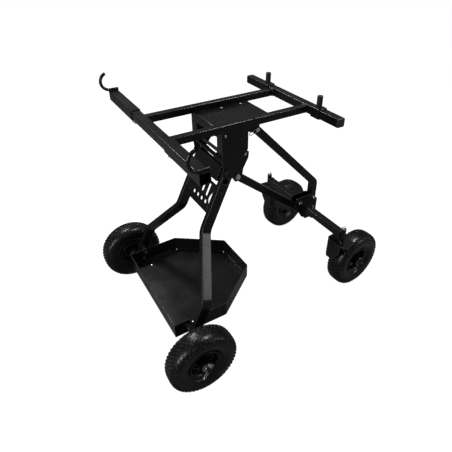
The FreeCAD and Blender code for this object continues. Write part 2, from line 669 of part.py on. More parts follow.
def front_strut():
    hx, hz = HINGE
    bar_end = (BEAM_X - TUBE / 2, BEAM_Z - 14.0)
    dx = bar_end[0] - hx
    dz = bar_end[1] - hz
    reach = (bar_end[0] + 0.1 * dx, 0.0, bar_end[1] + 0.1 * dz)
    bar = straight_tube(BAR, BAR, RAIL_WALL, (hx, 0.0, hz), reach, (0, 1, 0))
    bar = bar.cut(block((BEAM_X - TUBE / 2, BEAM_X + 90), (-40, 40), (100, 420)))
    bar = bar.cut(rod_y(EYE_R, hx, hz, -40, 40))
    eye_half = CHEEK_Y - 0.5
    eye = rod_y(EYE_R, hx, hz, -eye_half, eye_half).cut(rod_y(PIN_R + RUN_GAP, hx, hz, -40, 40))
    save("lower_bar", [bar, eye])

    px, pz = BRACE_PIN
    lean = math.hypot(BRACE_X - px, BRACE_BEND_Z - pz)
    ux = (BRACE_X - px) / lean
    uz = (BRACE_BEND_Z - pz) / lean
    top = (px - 16.0 * ux, 0.0, pz - 16.0 * uz)
    brace = bent_tube([top, (BRACE_X, 0.0, BRACE_BEND_Z), (BRACE_X, 0.0, BRACE_END_Z)], (30.0,),
                      BAR, BAR, RAIL_WALL, (0, 1, 0))
    save("brace", brace.cut(rod_y(PIN_R + 0.1, px, pz, -40, 40)))

    beam = straight_tube(TUBE, TUBE, WALL, (BEAM_X, -KING_Y + 6.0, BEAM_Z), (BEAM_X, KING_Y - 6.0, BEAM_Z), (1, 0, 0))
    for side in (1, -1):
        housing = rod(HOUSING_R, (BEAM_X, side * KING_Y, HOUSING_Z[0]), (BEAM_X, side * KING_Y, HOUSING_Z[1]))
        beam = beam.fuse(housing)
    for side in (1, -1):
        beam = beam.cut(rod(KING_R + RUN_GAP, (BEAM_X, side * KING_Y, 200), (BEAM_X, side * KING_Y, 400)))
    save("front_axle_beam", beam)
    hub()
    lock_pin()


def hub():
    """Channel cheeks that tie the lower bar, the brace and the axle beam together."""
    outline = [(252.0, 372.0), (332.0, 372.0), (372.0, 340.0), (372.0, 276.0), (345.0, 262.0),
               (290.0, 262.0), (246.0, 330.0)]
    cheeks = []
    bolts = []
    gap = BAR / 2 + 0.1
    for side in (1, -1):
        y0, y1 = sorted((side * gap, side * (gap + CHEEK_T)))
        cheek = plate_y(outline, y0, y1)
        hole = block((BEAM_X - TUBE / 2, BEAM_X + TUBE / 2), (y0 - 1, y1 + 1), (BEAM_Z - TUBE / 2, BEAM_Z + TUBE / 2))
        cheeks.append(cheek.cut(hole))
        for x, z in ((BRACE_X, 352.0), (BRACE_X, 300.0), (272.0, 345.0)):
            bolts.append(hex_prism(8.0, 5.5, (x, side * (gap + CHEEK_T), z), (0, side, 0)))
    save("hub_bracket", cheeks)
    hx, hz = HINGE
    hinge = rod_y(PIN_R, hx, hz, -30.0, 30.0)
    for side in (1, -1):
        hinge = hinge.fuse(hex_prism(9.0, 6.0, (hx, side * (CHEEK_Y + CHEEK_T), hz), (0, side, 0)))
    save("hub_bolts", bolts)
    save("strut_hinge_bolt", hinge)
    pedal = plate_y([(318.0, 261.5), (334.0, 261.5), (350.0, 246.0), (366.0, 226.0), (362.0, 222.0),
                     (344.0, 238.0), (318.0, 238.0)], -12.0, 12.0)
    save("foot_tab", pedal)


def lock_pin():
    """Headed pin with a long wire loop hanging back from its head."""
    px, pz = BRACE_PIN
    head_y = -26.0
    pin = rod_y(PIN_R, px, pz, head_y, 26.0)
    head = rod_y(8.0, px, pz, head_y, head_y + 5.0)
    half = 6.0
    along = V(-30.0, 0, -9.0)
    across = V(along.z, 0, -along.x).normalize() * half
    tip = V(along).normalize() * half
    near = V(px, head_y + 1.5, pz)
    far = near + along
    path = Part.Wire([Part.makeLine(near + across, far + across),
                      Part.Arc(far + across, far + tip, far - across).toShape(),
                      Part.makeLine(far - across, near - across),
                      Part.Arc(near - across, near - tip, near + across).toShape()])
    section = Part.Wire([Part.Circle(near + across, along, 1.4).toShape()])
    loop = path.makePipeShell([section], True, False)
    save("lock_pin", pin.fuse(head).fuse(loop))


def caster_bracket(side):
    """Flat top, back wall and inboard cheek folded from one plate, with a bevelled inboard corner."""
    inner = side * FORK_Y[0]
    outer = side * FORK_Y[1]
    x0, x1 = FORK_X
    cut = side * FORK_CORNER
    low, high = FORK_Z
    wall_end = side * FORK_WALL_END
    plan = [(x0, inner + cut), (x0 + FORK_CORNER, inner), (x1, inner), (x1, outer - side * 13.0),
            (x0 + 18.0, outer), (x0, wall_end)]
    top = polygon([(x, y, high - FORK_T) for x, y in plan]).extrude(V(0, 0, FORK_T))
    wall_plan = [(x0, wall_end), (x0, inner + cut), (x0 + FORK_CORNER, inner), (x1, inner),
                 (x1, inner + side * FORK_T), (x0 + FORK_CORNER + 2.0, inner + side * FORK_T),
                 (x0 + FORK_T, inner + cut + side * 2.0), (x0 + FORK_T, wall_end)]
    wall = polygon([(x, y, low) for x, y in wall_plan]).extrude(V(0, 0, high - low))
    wall = wall.cut(polygon([(x0 - 1.0, wall_end + side, low - 1.0), (x0 - 1.0, wall_end + side, low + 46.0),
                             (x0 - 1.0, wall_end - side * 28.0, low - 1.0)]).extrude(V(FORK_T + 2.0, 0, 0)))
    cheek_y = tuple(sorted((inner, inner + side * FORK_T)))
    cheek = plate_y([(x0 + FORK_CORNER + 2.0, high), (x1, high), (FRONT_X + 20.0, WHEEL_R + 12.0),
                     (FRONT_X + 14.0, WHEEL_R - 16.0), (FRONT_X - 16.0, WHEEL_R - 18.0),
                     (x0 + FORK_CORNER + 2.0, low)], *cheek_y)
    bracket = top.fuse(wall).fuse(cheek).fuse(rod_y(22.0, FRONT_X, WHEEL_R, *cheek_y))
    bracket = bracket.cut(rod(KING_R, (BEAM_X, side * KING_Y, 200), (BEAM_X, side * KING_Y, 400)))
    return bracket.cut(rod_y(AXLE_R, FRONT_X, WHEEL_R, side * 150, side * 260))


def caster(name):
    """Swivel bracket behind and inboard of the wheel, its kingpin, nut, stub axle and clip."""
    side = SIDES[name]
    inner = side * FORK_Y[0]
    save(name + "_caster_bracket", swivelled(caster_bracket(side), name))
    king = rod(KING_R, (BEAM_X, side * KING_Y, 264.0), (BEAM_X, side * KING_Y, 349.0))
    spacer = rod(10.0, (BEAM_X, side * KING_Y, FORK_Z[1]), (BEAM_X, side * KING_Y, HOUSING_Z[0] - 0.5))
    king = king.fuse(spacer).fuse(hex_prism(9.5, 6.5, (BEAM_X, side * KING_Y, 264.0), (0, 0, 1)))
    nut = hex_prism(9.5, 6.0, (BEAM_X, side * KING_Y, HOUSING_Z[1] + 0.5), (0, 0, 1))
    dome = Part.makeSphere(8.0, V(BEAM_X, side * KING_Y, HOUSING_Z[1] + 5.5), V(0, 0, 1), 0, 90, 360)
    cap = nut.fuse(dome).cut(rod(KING_R, (BEAM_X, side * KING_Y, 300), (BEAM_X, side * KING_Y, 349.0)))
    save(name + "_kingpin", [king, cap])
    end = side * (FRONT_WHEEL_Y + HUB_LEN / 2 + 17.0)
    clip_y = side * (FRONT_WHEEL_Y + HUB_LEN / 2 + 8.0)
    axle = pinned_axle(FRONT_X, WHEEL_R, inner, end, clip_y, 50.0)
    collar = rod_y(12.0, FRONT_X, WHEEL_R, inner + side * FORK_T, side * (FRONT_WHEEL_Y - HUB_LEN / 2 - 0.4))
    ring = washer(FRONT_X, WHEEL_R, side * (FRONT_WHEEL_Y + HUB_LEN / 2 + 0.8), side * 3.0)
    parts = [axle.fuse(collar), ring, hairpin(FRONT_X, clip_y, WHEEL_R, 50.0)]
    save(name + "_caster_axle", [swivelled(part, name) for part in parts])


def pivot_bolt():
    half = SIDE_Y + SHEET
    bolt = rod_y(PIVOT_R, PIVOT[0], PIVOT[1], -half - 7.0, half + 7.0)
    for side in (1, -1):
        bolt = bolt.fuse(rod_y(14.0, PIVOT[0], PIVOT[1], side * half, side * (half + 2.0)))
        bolt = bolt.fuse(hex_prism(12.5, 8.0, (PIVOT[0], side * (half + 2.0), PIVOT[1]), (0, side, 0)))
    save("pivot_bolt", bolt)


def main():
    os.makedirs(OUT, exist_ok=True)
    top_frame()
    hook_arms()
    pegs()
    saddle()
    brace_bracket()
    rear_legs()
    wheels()
    front_strut()
    for name in SIDES:
        caster(name)
    pivot_bolt()


main()
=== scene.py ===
import json
import math

import bmesh
import bpy
from mathutils import Matrix, Vector


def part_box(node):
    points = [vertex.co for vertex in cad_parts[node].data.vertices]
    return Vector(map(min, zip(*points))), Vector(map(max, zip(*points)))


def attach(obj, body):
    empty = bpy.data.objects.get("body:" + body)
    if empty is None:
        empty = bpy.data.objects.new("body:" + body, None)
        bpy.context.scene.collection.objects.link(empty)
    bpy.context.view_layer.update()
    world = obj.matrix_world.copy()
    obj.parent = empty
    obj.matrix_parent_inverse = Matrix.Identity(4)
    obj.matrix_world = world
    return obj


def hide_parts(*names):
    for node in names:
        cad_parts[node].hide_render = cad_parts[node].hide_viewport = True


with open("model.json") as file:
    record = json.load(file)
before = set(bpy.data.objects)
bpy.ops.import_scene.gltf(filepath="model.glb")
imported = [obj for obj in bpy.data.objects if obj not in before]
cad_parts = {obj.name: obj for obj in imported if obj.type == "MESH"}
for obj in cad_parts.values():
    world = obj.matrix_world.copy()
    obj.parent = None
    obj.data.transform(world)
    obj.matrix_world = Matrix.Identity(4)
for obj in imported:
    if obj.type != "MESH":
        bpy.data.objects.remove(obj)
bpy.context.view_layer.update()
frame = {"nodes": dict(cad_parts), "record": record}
NODES = frame["nodes"]
JOINTS = {joint["name"]: joint for joint in frame["record"]["behaviour"]["joints"]}
SCENE = bpy.context.scene
MM = 0.001
SIDES = ("left", "right")
WHEELS = ("rear_left", "rear_right", "front_left", "front_right")


# ---------------------------------------------------------------- material helpers

BEVEL_SAMPLES = 12
GLOSS = 0.36


class Shader:
    """A material under construction: a Principled shader and short ways to feed it."""

    def __init__(self, name):
        self.material = bpy.data.materials.new(name)
        self.material.use_nodes = True
        self.tree = self.material.node_tree
        self.tree.nodes.clear()
        output = self.tree.nodes.new("ShaderNodeOutputMaterial")
        self.bsdf = self.tree.nodes.new("ShaderNodeBsdfPrincipled")
        self.tree.links.new(self.bsdf.outputs["BSDF"], output.inputs["Surface"])
        self.place = self.tree.nodes.new("ShaderNodeTexCoord").outputs["Object"]

    def node(self, kind, settings=None, **inputs):
        """New node; settings are its properties, inputs are values or sockets by name."""
        made = self.tree.nodes.new(kind)
        for key, value in (settings or {}).items():
            setattr(made, key, value)
        for key, value in inputs.items():
            self.feed(made.inputs[key.replace("_", " ")], value)
        return made

    def feed(self, socket, value):
        """Link a socket to a socket, or set its value."""
        if isinstance(value, bpy.types.NodeSocket):
            self.tree.links.new(value, socket)
        else:
            socket.default_value = value

    def noise(self, scale, detail=3.0, rough=0.55):
        """Cloudy noise in object space; scale is in cycles per metre."""
        made = self.node("ShaderNodeTexNoise", Scale=scale, Detail=detail, Roughness=rough)
        self.feed(made.inputs["Vector"], self.place)
        return made.outputs["Fac"]

    def cells(self, scale):
        """Distance to the nearest of many scattered points in object space."""
        made = self.node("ShaderNodeTexVoronoi", {"feature": "F1"}, Scale=scale)
        self.feed(made.inputs["Vector"], self.place)
        return made.outputs["Distance"]

    def spread(self, value, low, high, to_low, to_high):
        """Map a value from one range to another, clamped."""
        made = self.node("ShaderNodeMapRange", {"clamp": True})
        limits = {"From Min": low, "From Max": high, "To Min": to_low, "To Max": to_high}
        for key, number in limits.items():
            made.inputs[key].default_value = number
        self.feed(made.inputs["Value"], value)
        return made.outputs["Result"]

    def maths(self, operation, a, b):
        """Result of one arithmetic operation on a and b."""
        made = self.node("ShaderNodeMath", {"operation": operation})
        self.feed(made.inputs[0], a)
        self.feed(made.inputs[1], b)
        return made.outputs[0]

    def mix(self, factor, a, b):
        """Colour a where factor is 0 and colour b where it is 1."""
        made = self.node("ShaderNodeMix", {"data_type": "RGBA"})
        self.feed(made.inputs[0], factor)
        for slot, colour in ((6, a), (7, b)):
            self.feed(made.inputs[slot], (*colour, 1.0) if isinstance(colour, tuple) else colour)
        return made.outputs[2]

    def rounded(self, radius):
        """Normal with edges rounded to the radius."""
        return self.node("ShaderNodeBevel", {"samples": BEVEL_SAMPLES}, Radius=radius).outputs["Normal"]

    def edge_mask(self, radius):
        """1 along sharp edges, falling to 0 on flat faces."""
        flat = self.node("ShaderNodeNewGeometry").outputs["Normal"]
        made = self.node("ShaderNodeVectorMath", {"operation": "DOT_PRODUCT"})
        self.feed(made.inputs[0], self.rounded(radius))
        self.feed(made.inputs[1], flat)
        return self.spread(made.outputs["Value"], 0.80, 0.985, 1.0, 0.0)

    def bump(self, height, strength, distance, under):
        """Relief from a height value, laid over another normal."""
        made = self.node("ShaderNodeBump", Strength=strength, Distance=distance, Height=height)
        self.feed(made.inputs["Normal"], under)
        return made.outputs["Normal"]

    def set(self, **inputs):
        """Feed the Principled shader and return the finished material."""
        for key, value in inputs.items():
            self.feed(self.bsdf.inputs[key.replace("_", " ")], value)
        return self.material


def powder_coat(name, dark, light, rough, edge_radius):
    """Satin powder coat: faint cloudiness, orange peel, and edges smoother and painted lighter, partly
    as wear and partly as a painted highlight along the edges.
    """
    s = Shader(name)
    cloud = s.noise(9.0)
    scuff = s.noise(130.0, 6.0, 0.7)
    edge = s.edge_mask(edge_radius)
    # Edge mask broken by scuff noise: where edges are painted lighter, partly as wear and partly as a
    # painted highlight.
    wear_and_edge_highlight = s.maths("MULTIPLY", edge, s.spread(scuff, 0.35, 0.68, 0.45, 0.85))
    peel = s.bump(s.noise(700.0, 2.0), 0.03, 0.0002, s.rounded(edge_radius))
    fine = s.bump(s.noise(160.0, 2.0), 0.02, 0.0005, peel)
    patchy = s.maths("ADD", s.maths("MULTIPLY", cloud, 0.5), s.maths("MULTIPLY", scuff, 0.5))
    roughness = s.maths("SUBTRACT", s.spread(patchy, 0.3, 0.7, rough - 0.06, rough + 0.09),
                        s.maths("MULTIPLY", edge, 0.10))
    # Edges painted near-grey (0.10): partly wear, partly a painted highlight standing in for light
    # caught on the rounded edges.
    colour = s.mix(wear_and_edge_highlight, s.mix(cloud, dark, light), (0.10, 0.10, 0.105))
    return s.set(Base_Color=colour, Roughness=roughness, Normal=fine, Specular_IOR_Level=GLOSS)


def plated(name, tint, rough, streak):
    """Bright plated steel with fine turning marks and dull spots."""
    s = Shader(name)
    cloud = s.noise(220.0, 4.0)
    line = s.noise(streak, 2.0)
    dark = tuple(channel * 0.72 for channel in tint)
    normal = s.bump(line, 0.12, 0.0003, s.rounded(0.0004))
    colour = s.mix(s.spread(cloud, 0.35, 0.7, 0.0, 1.0), tint, dark)
    roughness = s.spread(cloud, 0.3, 0.75, rough, rough + 0.16)
    return s.set(Base_Color=colour, Metallic=1.0, Roughness=roughness, Normal=normal)


def rubber(name, dark, light, rough, grain, grain_depth):
    """Moulded rubber with a fine grain, greyer where dust has settled and duller in patches."""
    s = Shader(name)
    cloud = s.noise(26.0, 5.0, 0.6)
    speck = s.noise(420.0, 3.0)
    dust = s.maths("MULTIPLY", s.spread(cloud, 0.45, 0.75, 0.0, 1.0),
                   s.spread(speck, 0.4, 0.7, 0.2, 1.0))
    normal = s.bump(s.noise(grain, 3.0), 0.10, grain_depth, s.rounded(0.0008))
    gloss = s.maths("ADD", s.maths("MULTIPLY", cloud, 0.6), s.maths("MULTIPLY", speck, 0.4))
    roughness = s.spread(gloss, 0.35, 0.65, rough, rough + 0.16)
    return s.set(Base_Color=s.mix(dust, dark, light), Roughness=roughness, Normal=normal,
                 Specular_IOR_Level=GLOSS)


def moulded_plastic(name):
    """Black moulded plastic with a pebbled grain."""
    s = Shader(name)
    grain = s.cells(1500.0)
    cloud = s.noise(30.0, 3.0)
    return s.set(Base_Color=s.mix(cloud, (0.0070,) * 3, (0.0130,) * 3),
                 Roughness=s.spread(cloud, 0.3, 0.7, 0.42, 0.55),
                 Normal=s.bump(grain, 0.2, 0.0003, s.rounded(0.0008)))


def make_materials():
    """One material for each slot of the CAD."""
    return {
        "powder_coat": powder_coat("powder coat", (0.0024, 0.0024, 0.0027), (0.0048, 0.0048, 0.0053),
                                   0.24, 0.0015),
        "rim_paint": powder_coat("rim paint", (0.0020, 0.0020, 0.0022), (0.0040, 0.0040, 0.0042),
                                 0.30, 0.0008),
        "tyre_rubber": rubber("tyre rubber", (0.0018, 0.0018, 0.0020), (0.0050, 0.0050, 0.0045),
                              0.22, 900.0, 0.0003),
        "grip_rubber": rubber("grip rubber", (0.0055,) * 3, (0.0110,) * 3, 0.50, 1400.0, 0.0004),
        "cap_plastic": moulded_plastic("cap plastic"),
        "zinc_hardware": plated("zinc plate", (0.86, 0.87, 0.88), 0.16, 900.0),
        "axle_steel": plated("turned steel", (0.05, 0.05, 0.055), 0.30, 1600.0),
        "bearing_steel": plated("ground steel", (0.72, 0.72, 0.74), 0.20, 1300.0),
    }


def dress_nodes(materials):
    """Give every CAD node the material of its own slot."""
    for row in frame["record"]["subparts"]:
        node = NODES[row["node"]]
        node.data.materials.clear()
        node.data.materials.append(materials[row["material_slot"]])


# ---------------------------------------------------------------- mesh helpers

def centre_of(node):
    """Middle of a CAD node's box."""
    low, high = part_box(node)
    return (Vector(low) + Vector(high)) / 2


def finish_piece(name, build, materials, slot, body, smooth_angle):
    """Turn a bmesh into a named piece of one material slot that rides on a body."""
    mesh = bpy.data.meshes.new(name)
    bmesh.ops.recalc_face_normals(build, faces=build.faces)
    build.to_mesh(mesh)
    build.free()
    piece = bpy.data.objects.new(name, mesh)
    SCENE.collection.objects.link(piece)
    mesh.materials.append(materials[slot])
    mesh.shade_smooth()
    mesh.set_sharp_from_angle(angle=math.radians(smooth_angle))
    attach(piece, body)
    return piece


def skin_stack(build, rings):
    """Join a stack of rings with side faces, and cap both ends."""
    sides = len(rings[0])
    for low, high in zip(rings, rings[1:]):
        for k in range(sides):
            m = (k + 1) % sides
            build.faces.new((low[k], low[m], high[m], high[k]))
    build.faces.new(rings[-1])
    build.faces.new(rings[0][::-1])


def skin_loop(build, outlines):
    """Join closed outlines that stand round an axis, the last one to the first."""
    count = len(outlines[0])
    for one, two in zip(outlines, outlines[1:] + outlines[:1]):
        for j in range(count):
            k = (j + 1) % count
            build.faces.new((one[j], one[k], two[k], two[j]))


def lathe(build, profile, centre, steps):
    """Closed ring from (radius, offset) pairs turned about the wheel's axle, along Y."""
    outlines = []
    for i in range(steps):
        turn = 2 * math.pi * i / steps
        c = math.cos(turn)
        s = math.sin(turn)
        outlines.append([build.verts.new(centre + Vector((r * c, w, r * s))) for r, w in profile])
    skin_loop(build, outlines)


def add_tube(build, points, radii, sides):
    """Capped tube through the points, with its own radius at each."""
    rings = []
    last = len(points) - 1
    guide = None
    for i, point in enumerate(points):
        ahead = (points[min(i + 1, last)] - points[max(i - 1, 0)]).normalized()
        if guide is None:
            guide = ahead.orthogonal().normalized()
        guide = (guide - ahead * guide.dot(ahead)).normalized()
        other = ahead.cross(guide)
        ring = []
        for k in range(sides):
            a = 2 * math.pi * k / sides
            spoke = guide * math.cos(a) + other * math.sin(a)
            ring.append(build.verts.new(point + spoke * radii[i]))
        rings.append(ring)
    skin_stack(build, rings)


# ---------------------------------------------------------------- wheels

CROWN_R = 127.7 * MM
KNOB_RISE = 2.2 * MM
TYRE_HALF = 41.0 * MM
SHOULDER_DROP = 37.0 * MM
SQUARENESS = 0.62
SHOULDER_ANGLE = math.radians(84.0)
KNOB_TURNS = 46
KNOB_SIDES = 6
KNOB_ROOT = -1.6 * MM
# One row of tread blocks each: place across the tread, half width, half length, stagger, skew.
KNOB_ROWS = (
    (0.0, 4.4, 6.6, 0.0, 0.0),
    (0.065, 4.2, 6.4, 0.5, 0.2),
    (0.205, 4.1, 6.2, 0.0, 0.3),
    (0.385, 4.0, 6.0, 0.5, 0.3),
    (0.60, 3.8, 5.6, 0.0, 0.3),
    (0.80, 3.2, 4.8, 0.5, 0.2),
)
TYRE_STEPS = 128
RIM_STEPS = 96
RING_STEPS = 48
RIM_BOLTS = 4
RIM_BOLT_CIRCLE = 35.0 * MM
RIM_BOLT_FACE = 6.2 * MM
RIM_BOLT_R = 5.2 * MM
HUB_HALF = 44.0
HUB_R = 22.0
BEARING_SEAT_R = 17.7
BEARING_W = 11.0 * MM
VALVE_TURN = math.radians(205.0)
VALVE_R = 46.5 * MM
VALVE_Y = 14.0 * MM


def tyre_surface(u):
    """(radius, offset) on the carcass; u runs from -1 at one shoulder to 1 at the other."""
    angle = u * SHOULDER_ANGLE
    w = TYRE_HALF * math.copysign(abs(math.sin(angle)) ** SQUARENESS, u)
    drop = SHOULDER_DROP * (1 - math.cos(angle) ** SQUARENESS)
    return CROWN_R - drop, w


def tyre_profile():
    """Crown and shoulders, sidewalls with a rim-guard rib, beads and the inner skin."""
    crown = [tyre_surface(math.copysign((i / 14.0) ** 2, i)) for i in range(-14, 15)]
    flank = [(92.0, 41.4), (86.0, 40.8), (80.0, 39.0), (75.0, 36.6), (73.6, 36.9), (71.8, 36.2),
             (70.6, 34.2), (65.0, 31.0), (60.5, 28.4), (57.5, 26.6), (55.5, 24.0), (55.0, 20.0),
             (58.0, 18.5), (72.0, 30.0), (92.0, 35.0), (108.0, 28.0), (117.0, 14.0)]
    right = [(r * MM, w * MM) for r, w in flank]
    left = [(r, -w) for r, w in reversed(right)]
    return crown + right + left


def add_knob(build, centre, turn, u, width, length, skew):
    """One tread block: a six-sided pad, sunk into the carcass, with a slightly smaller top."""
    radius, offset = tyre_surface(u)
    near = tyre_surface(u + 0.01)
    far = tyre_surface(u - 0.01)
    across = Vector((near[0] - far[0], near[1] - far[1])).normalized()
    radial = Vector((math.cos(turn), 0, math.sin(turn)))
    along = Vector((-math.sin(turn), 0, math.cos(turn)))
    side = radial * across.x + Vector((0, across.y, 0))
    out = along.cross(side)
    if out.dot(radial) < 0:
        out = -out
    origin = centre + radial * radius + Vector((0, offset, 0))
    rings = []
    for lift, grow in ((KNOB_ROOT, 1.12), (KNOB_RISE * 0.82, 0.94), (KNOB_RISE, 0.82)):
        ring = []
        for k in range(KNOB_SIDES):
            a = 2 * math.pi * k / KNOB_SIDES
            x = math.cos(a) * length * grow
            y = math.sin(a) * width * grow + skew * x
            ring.append(build.verts.new(origin + along * x + side * y + out * lift))
        rings.append(ring)
    skin_stack(build, rings)


def make_tyre(name, centre, heading, materials):
    """Carcass and staggered rows of tread blocks."""
    build = bmesh.new()
    lathe(build, tyre_profile(), centre, TYRE_STEPS)
    for i in range(KNOB_TURNS):
        for u, width, length, stagger, skew in KNOB_ROWS:
            turn = 2 * math.pi * (i + stagger) / KNOB_TURNS
            for side in ((1,) if u == 0 else (1, -1)):
                add_knob(build, centre, turn, side * u, width * MM, length * MM, side * skew)
    turn_to(build, centre, heading)
    piece = finish_piece(name + "_tread_tyre", build, materials, "tyre_rubber", name + "_wheel", 30.0)
    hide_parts(name + "_tyre")


def rim_profile(outboard):
    """Two rolled flanges, a stepped barrel and a dished centre, as one closed outline."""
    half, hub, seat = HUB_HALF, HUB_R, BEARING_SEAT_R
    flange = [(51.0, 20.0), (52.5, 24.0), (56.0, 27.2), (59.0, 29.6), (59.4, 31.2), (58.2, 32.4),
              (56.0, 32.0), (53.0, 29.4), (50.4, 26.6), (48.6, 23.0), (47.6, 14.0)]
    outer = [(r, w * outboard) for r, w in flange]
    centre = [(46.0, 6.0), (42.0, 3.4), (34.0, 6.4), (27.0, 5.4), (23.0, 9.0), (hub, 14.0),
              (hub, half - 1.0), (21.0, half), (seat, half), (seat, half - 10.9), (16.0, half - 11.0),
              (16.0, -half + 11.0), (seat, -half + 10.9), (seat, -half), (21.0, -half),
              (hub, -half + 1.0), (hub, -3.0), (26.0, 0.6), (34.0, 2.4), (42.0, -0.8), (46.4, -3.0)]
    disc = [(r, w * outboard) for r, w in centre]
    inner = [(r, -w * outboard) for r, w in reversed(flange)]
    barrel = [(49.8, -8.0 * outboard), (49.8, 8.0 * outboard)]
    return [(r * MM, w * MM) for r, w in outer + disc + inner + barrel]


def add_rim_bolt(build, centre, turn, outboard):
    """Hexagonal bolt head with a domed top, on the rim's centre disc."""
    middle = centre + Vector((RIM_BOLT_CIRCLE * math.cos(turn), outboard * RIM_BOLT_FACE,
                              RIM_BOLT_CIRCLE * math.sin(turn)))
    rings = []
    for lift, grow in ((-0.8, 1.0), (2.6, 1.0), (3.6, 0.84), (4.2, 0.5)):
        radius = RIM_BOLT_R * grow
        ring = []
        for k in range(6):
            a = math.pi * k / 3 + turn
            corner = Vector((radius * math.cos(a), outboard * lift * MM, radius * math.sin(a)))
            ring.append(build.verts.new(middle + corner))
        rings.append(ring)
    skin_stack(build, rings)


def make_rim(name, centre, outboard, heading, materials):
    """Pressed rim with its bolts."""
    build = bmesh.new()
    lathe(build, rim_profile(outboard), centre, RIM_STEPS)
    for k in range(RIM_BOLTS):
        add_rim_bolt(build, centre, math.pi * (0.5 * k + 0.25), outboard)
    turn_to(build, centre, heading)
    piece = finish_piece(name + "_pressed_rim", build, materials, "rim_paint", name + "_wheel", 40.0)
    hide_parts(name + "_rim")


def make_valve(name, centre, outboard, heading, materials):
    """Rubber valve stem with its cap, leaning in towards the axle."""
    build = bmesh.new()
    out = Vector((math.cos(VALVE_TURN), 0, math.sin(VALVE_TURN)))
    base = centre + out * VALVE_R + Vector((0, outboard * VALVE_Y, 0))
    axis = (Vector((0, outboard, 0)) * 0.93 - out * 0.36).normalized()
    outline = ((0, 4.2), (9, 3.6), (10, 2.6), (17, 2.6), (17.5, 3.3), (24, 3.2), (24.5, 2.4))
    add_tube(build, [base + axis * t * MM for t, _ in outline], [r * MM for _, r in outline], 14)
    turn_to(build, centre, heading)
    finish_piece(name + "_valve", build, materials, "grip_rubber", name + "_wheel", 40.0)


def make_bearings(name, centre, heading, materials):
    """Both hub bearings: bright outer and inner races, with a dark rubber seal between them."""
    low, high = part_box("rear_left_bearings")
    half = (high[1] - low[1]) / 2
    chamfer = 0.5 * MM
    races = bmesh.new()
    seals = bmesh.new()
    for side in (1, -1):
        face = side * half
        back = side * (half - BEARING_W)
        edge = face - side * chamfer
        for inner, outer in ((14.6, 17.45), (7.56, 10.0)):
            profile = [(inner * MM, back), (outer * MM, back), (outer * MM, edge),
                       ((outer - 0.5) * MM, face), ((inner + 0.5) * MM, face), (inner * MM, edge)]
            lathe(races, profile, centre, RING_STEPS)
        seal = [(10.1 * MM, face - side * 0.6 * MM), (11.2 * MM, face - side * 0.9 * MM),
                (12.2 * MM, face - side * 0.5 * MM), (13.4 * MM, face - side * 0.9 * MM),
                (14.5 * MM, face - side * 0.6 * MM), (14.5 * MM, back), (10.1 * MM, back)]
        lathe(seals, seal, centre, RING_STEPS)
    for build in (races, seals):
        turn_to(build, centre, heading)
    body = name + "_wheel"
    piece = finish_piece(name + "_bearing_races", races, materials, "bearing_steel", body, 30.0)
    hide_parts(name + "_bearings")
    finish_piece(name + "_bearing_seals", seals, materials, "grip_rubber", body, 40.0)


def turn_to(build, centre, heading):
    """Turn a piece about the upright line through centre."""
    bmesh.ops.rotate(build, cent=centre, matrix=Matrix.Rotation(heading, 3, "Z"), verts=build.verts)


def wheel_heading(name):
    """How far a wheel's axle is turned from the Y axis at rest."""
    x, y, _ = JOINTS[name + "_spin"]["axis"]
    return math.atan2(-x, y)


def make_wheels(materials):
    """Tyre, rim, valve and bearings of every wheel."""
    for name in WHEELS:
        centre = centre_of(name + "_tyre")
        outboard = 1 if centre.y > 0 else -1
        heading = wheel_heading(name)
        make_tyre(name, centre, heading, materials)
        make_rim(name, centre, outboard, heading, materials)
        make_valve(name, centre, outboard, heading, materials)
        make_bearings(name, centre, heading, materials)


# ---------------------------------------------------------------- welds

WELD_R = 2.1 * MM
WELD_SIDES = 7
WELD_RING_STEPS = 28
# Left free of weld at a rail's front end, where a peg collar comes to rest.
PEG_ROOM = 3.0 * MM
# Weld along each ear of the brace bracket.
BRACKET_RUN = 39 * MM
RIPPLE = 2.4 * MM


def add_weld(build, points, closed):
    """Weld bead along straight runs: a low ridge whose overlapping drops repeat every ripple."""
    corners = [Vector(p) for p in points]
    if closed:
        corners.append(corners[0])
    path = []
    for a, b in zip(corners, corners[1:]):
        steps = max(2, round((b - a).length / (RIPPLE / 3)))
        path += [a.lerp(b, i / steps) for i in range(steps)]
    path.append(corners[-1])
    radii = [WELD_R * (0.82 + 0.24 * ((i % 3) / 2.0) + 0.05 * math.sin(i * 1.7))
             for i in range(len(path))]
    add_tube(build, path, radii, WELD_SIDES)


def square_loop(axis, at, centre, half_a, half_b):
    """Corners of a rectangle square to one axis; centre and halves follow the other two axes."""
    corners = []
    for a, b in ((-1, -1), (1, -1), (1, 1), (-1, 1)):
        point = [centre[0] + a * half_a, centre[1] + b * half_b]
        point.insert(axis, at)
        corners.append(tuple(point))
    return corners


def ring_points(centre, radius, axis):
    """Points round a circle square to one axis."""
    points = []
    for i in range(WELD_RING_STEPS):
        a = 2 * math.pi * i / WELD_RING_STEPS
        point = [radius * math.cos(a), radius * math.sin(a)]
        point.insert(axis, 0.0)
        points.append(tuple(Vector(centre) + Vector(point)))
    return points


def make_welds(name, body, runs, materials):
    """One piece of beads for a body; runs are (points, closed) pairs."""
    build = bmesh.new()
    for points, closed in runs:
        add_weld(build, points, closed)
    finish_piece(name, build, materials, "powder_coat", body, 50.0)


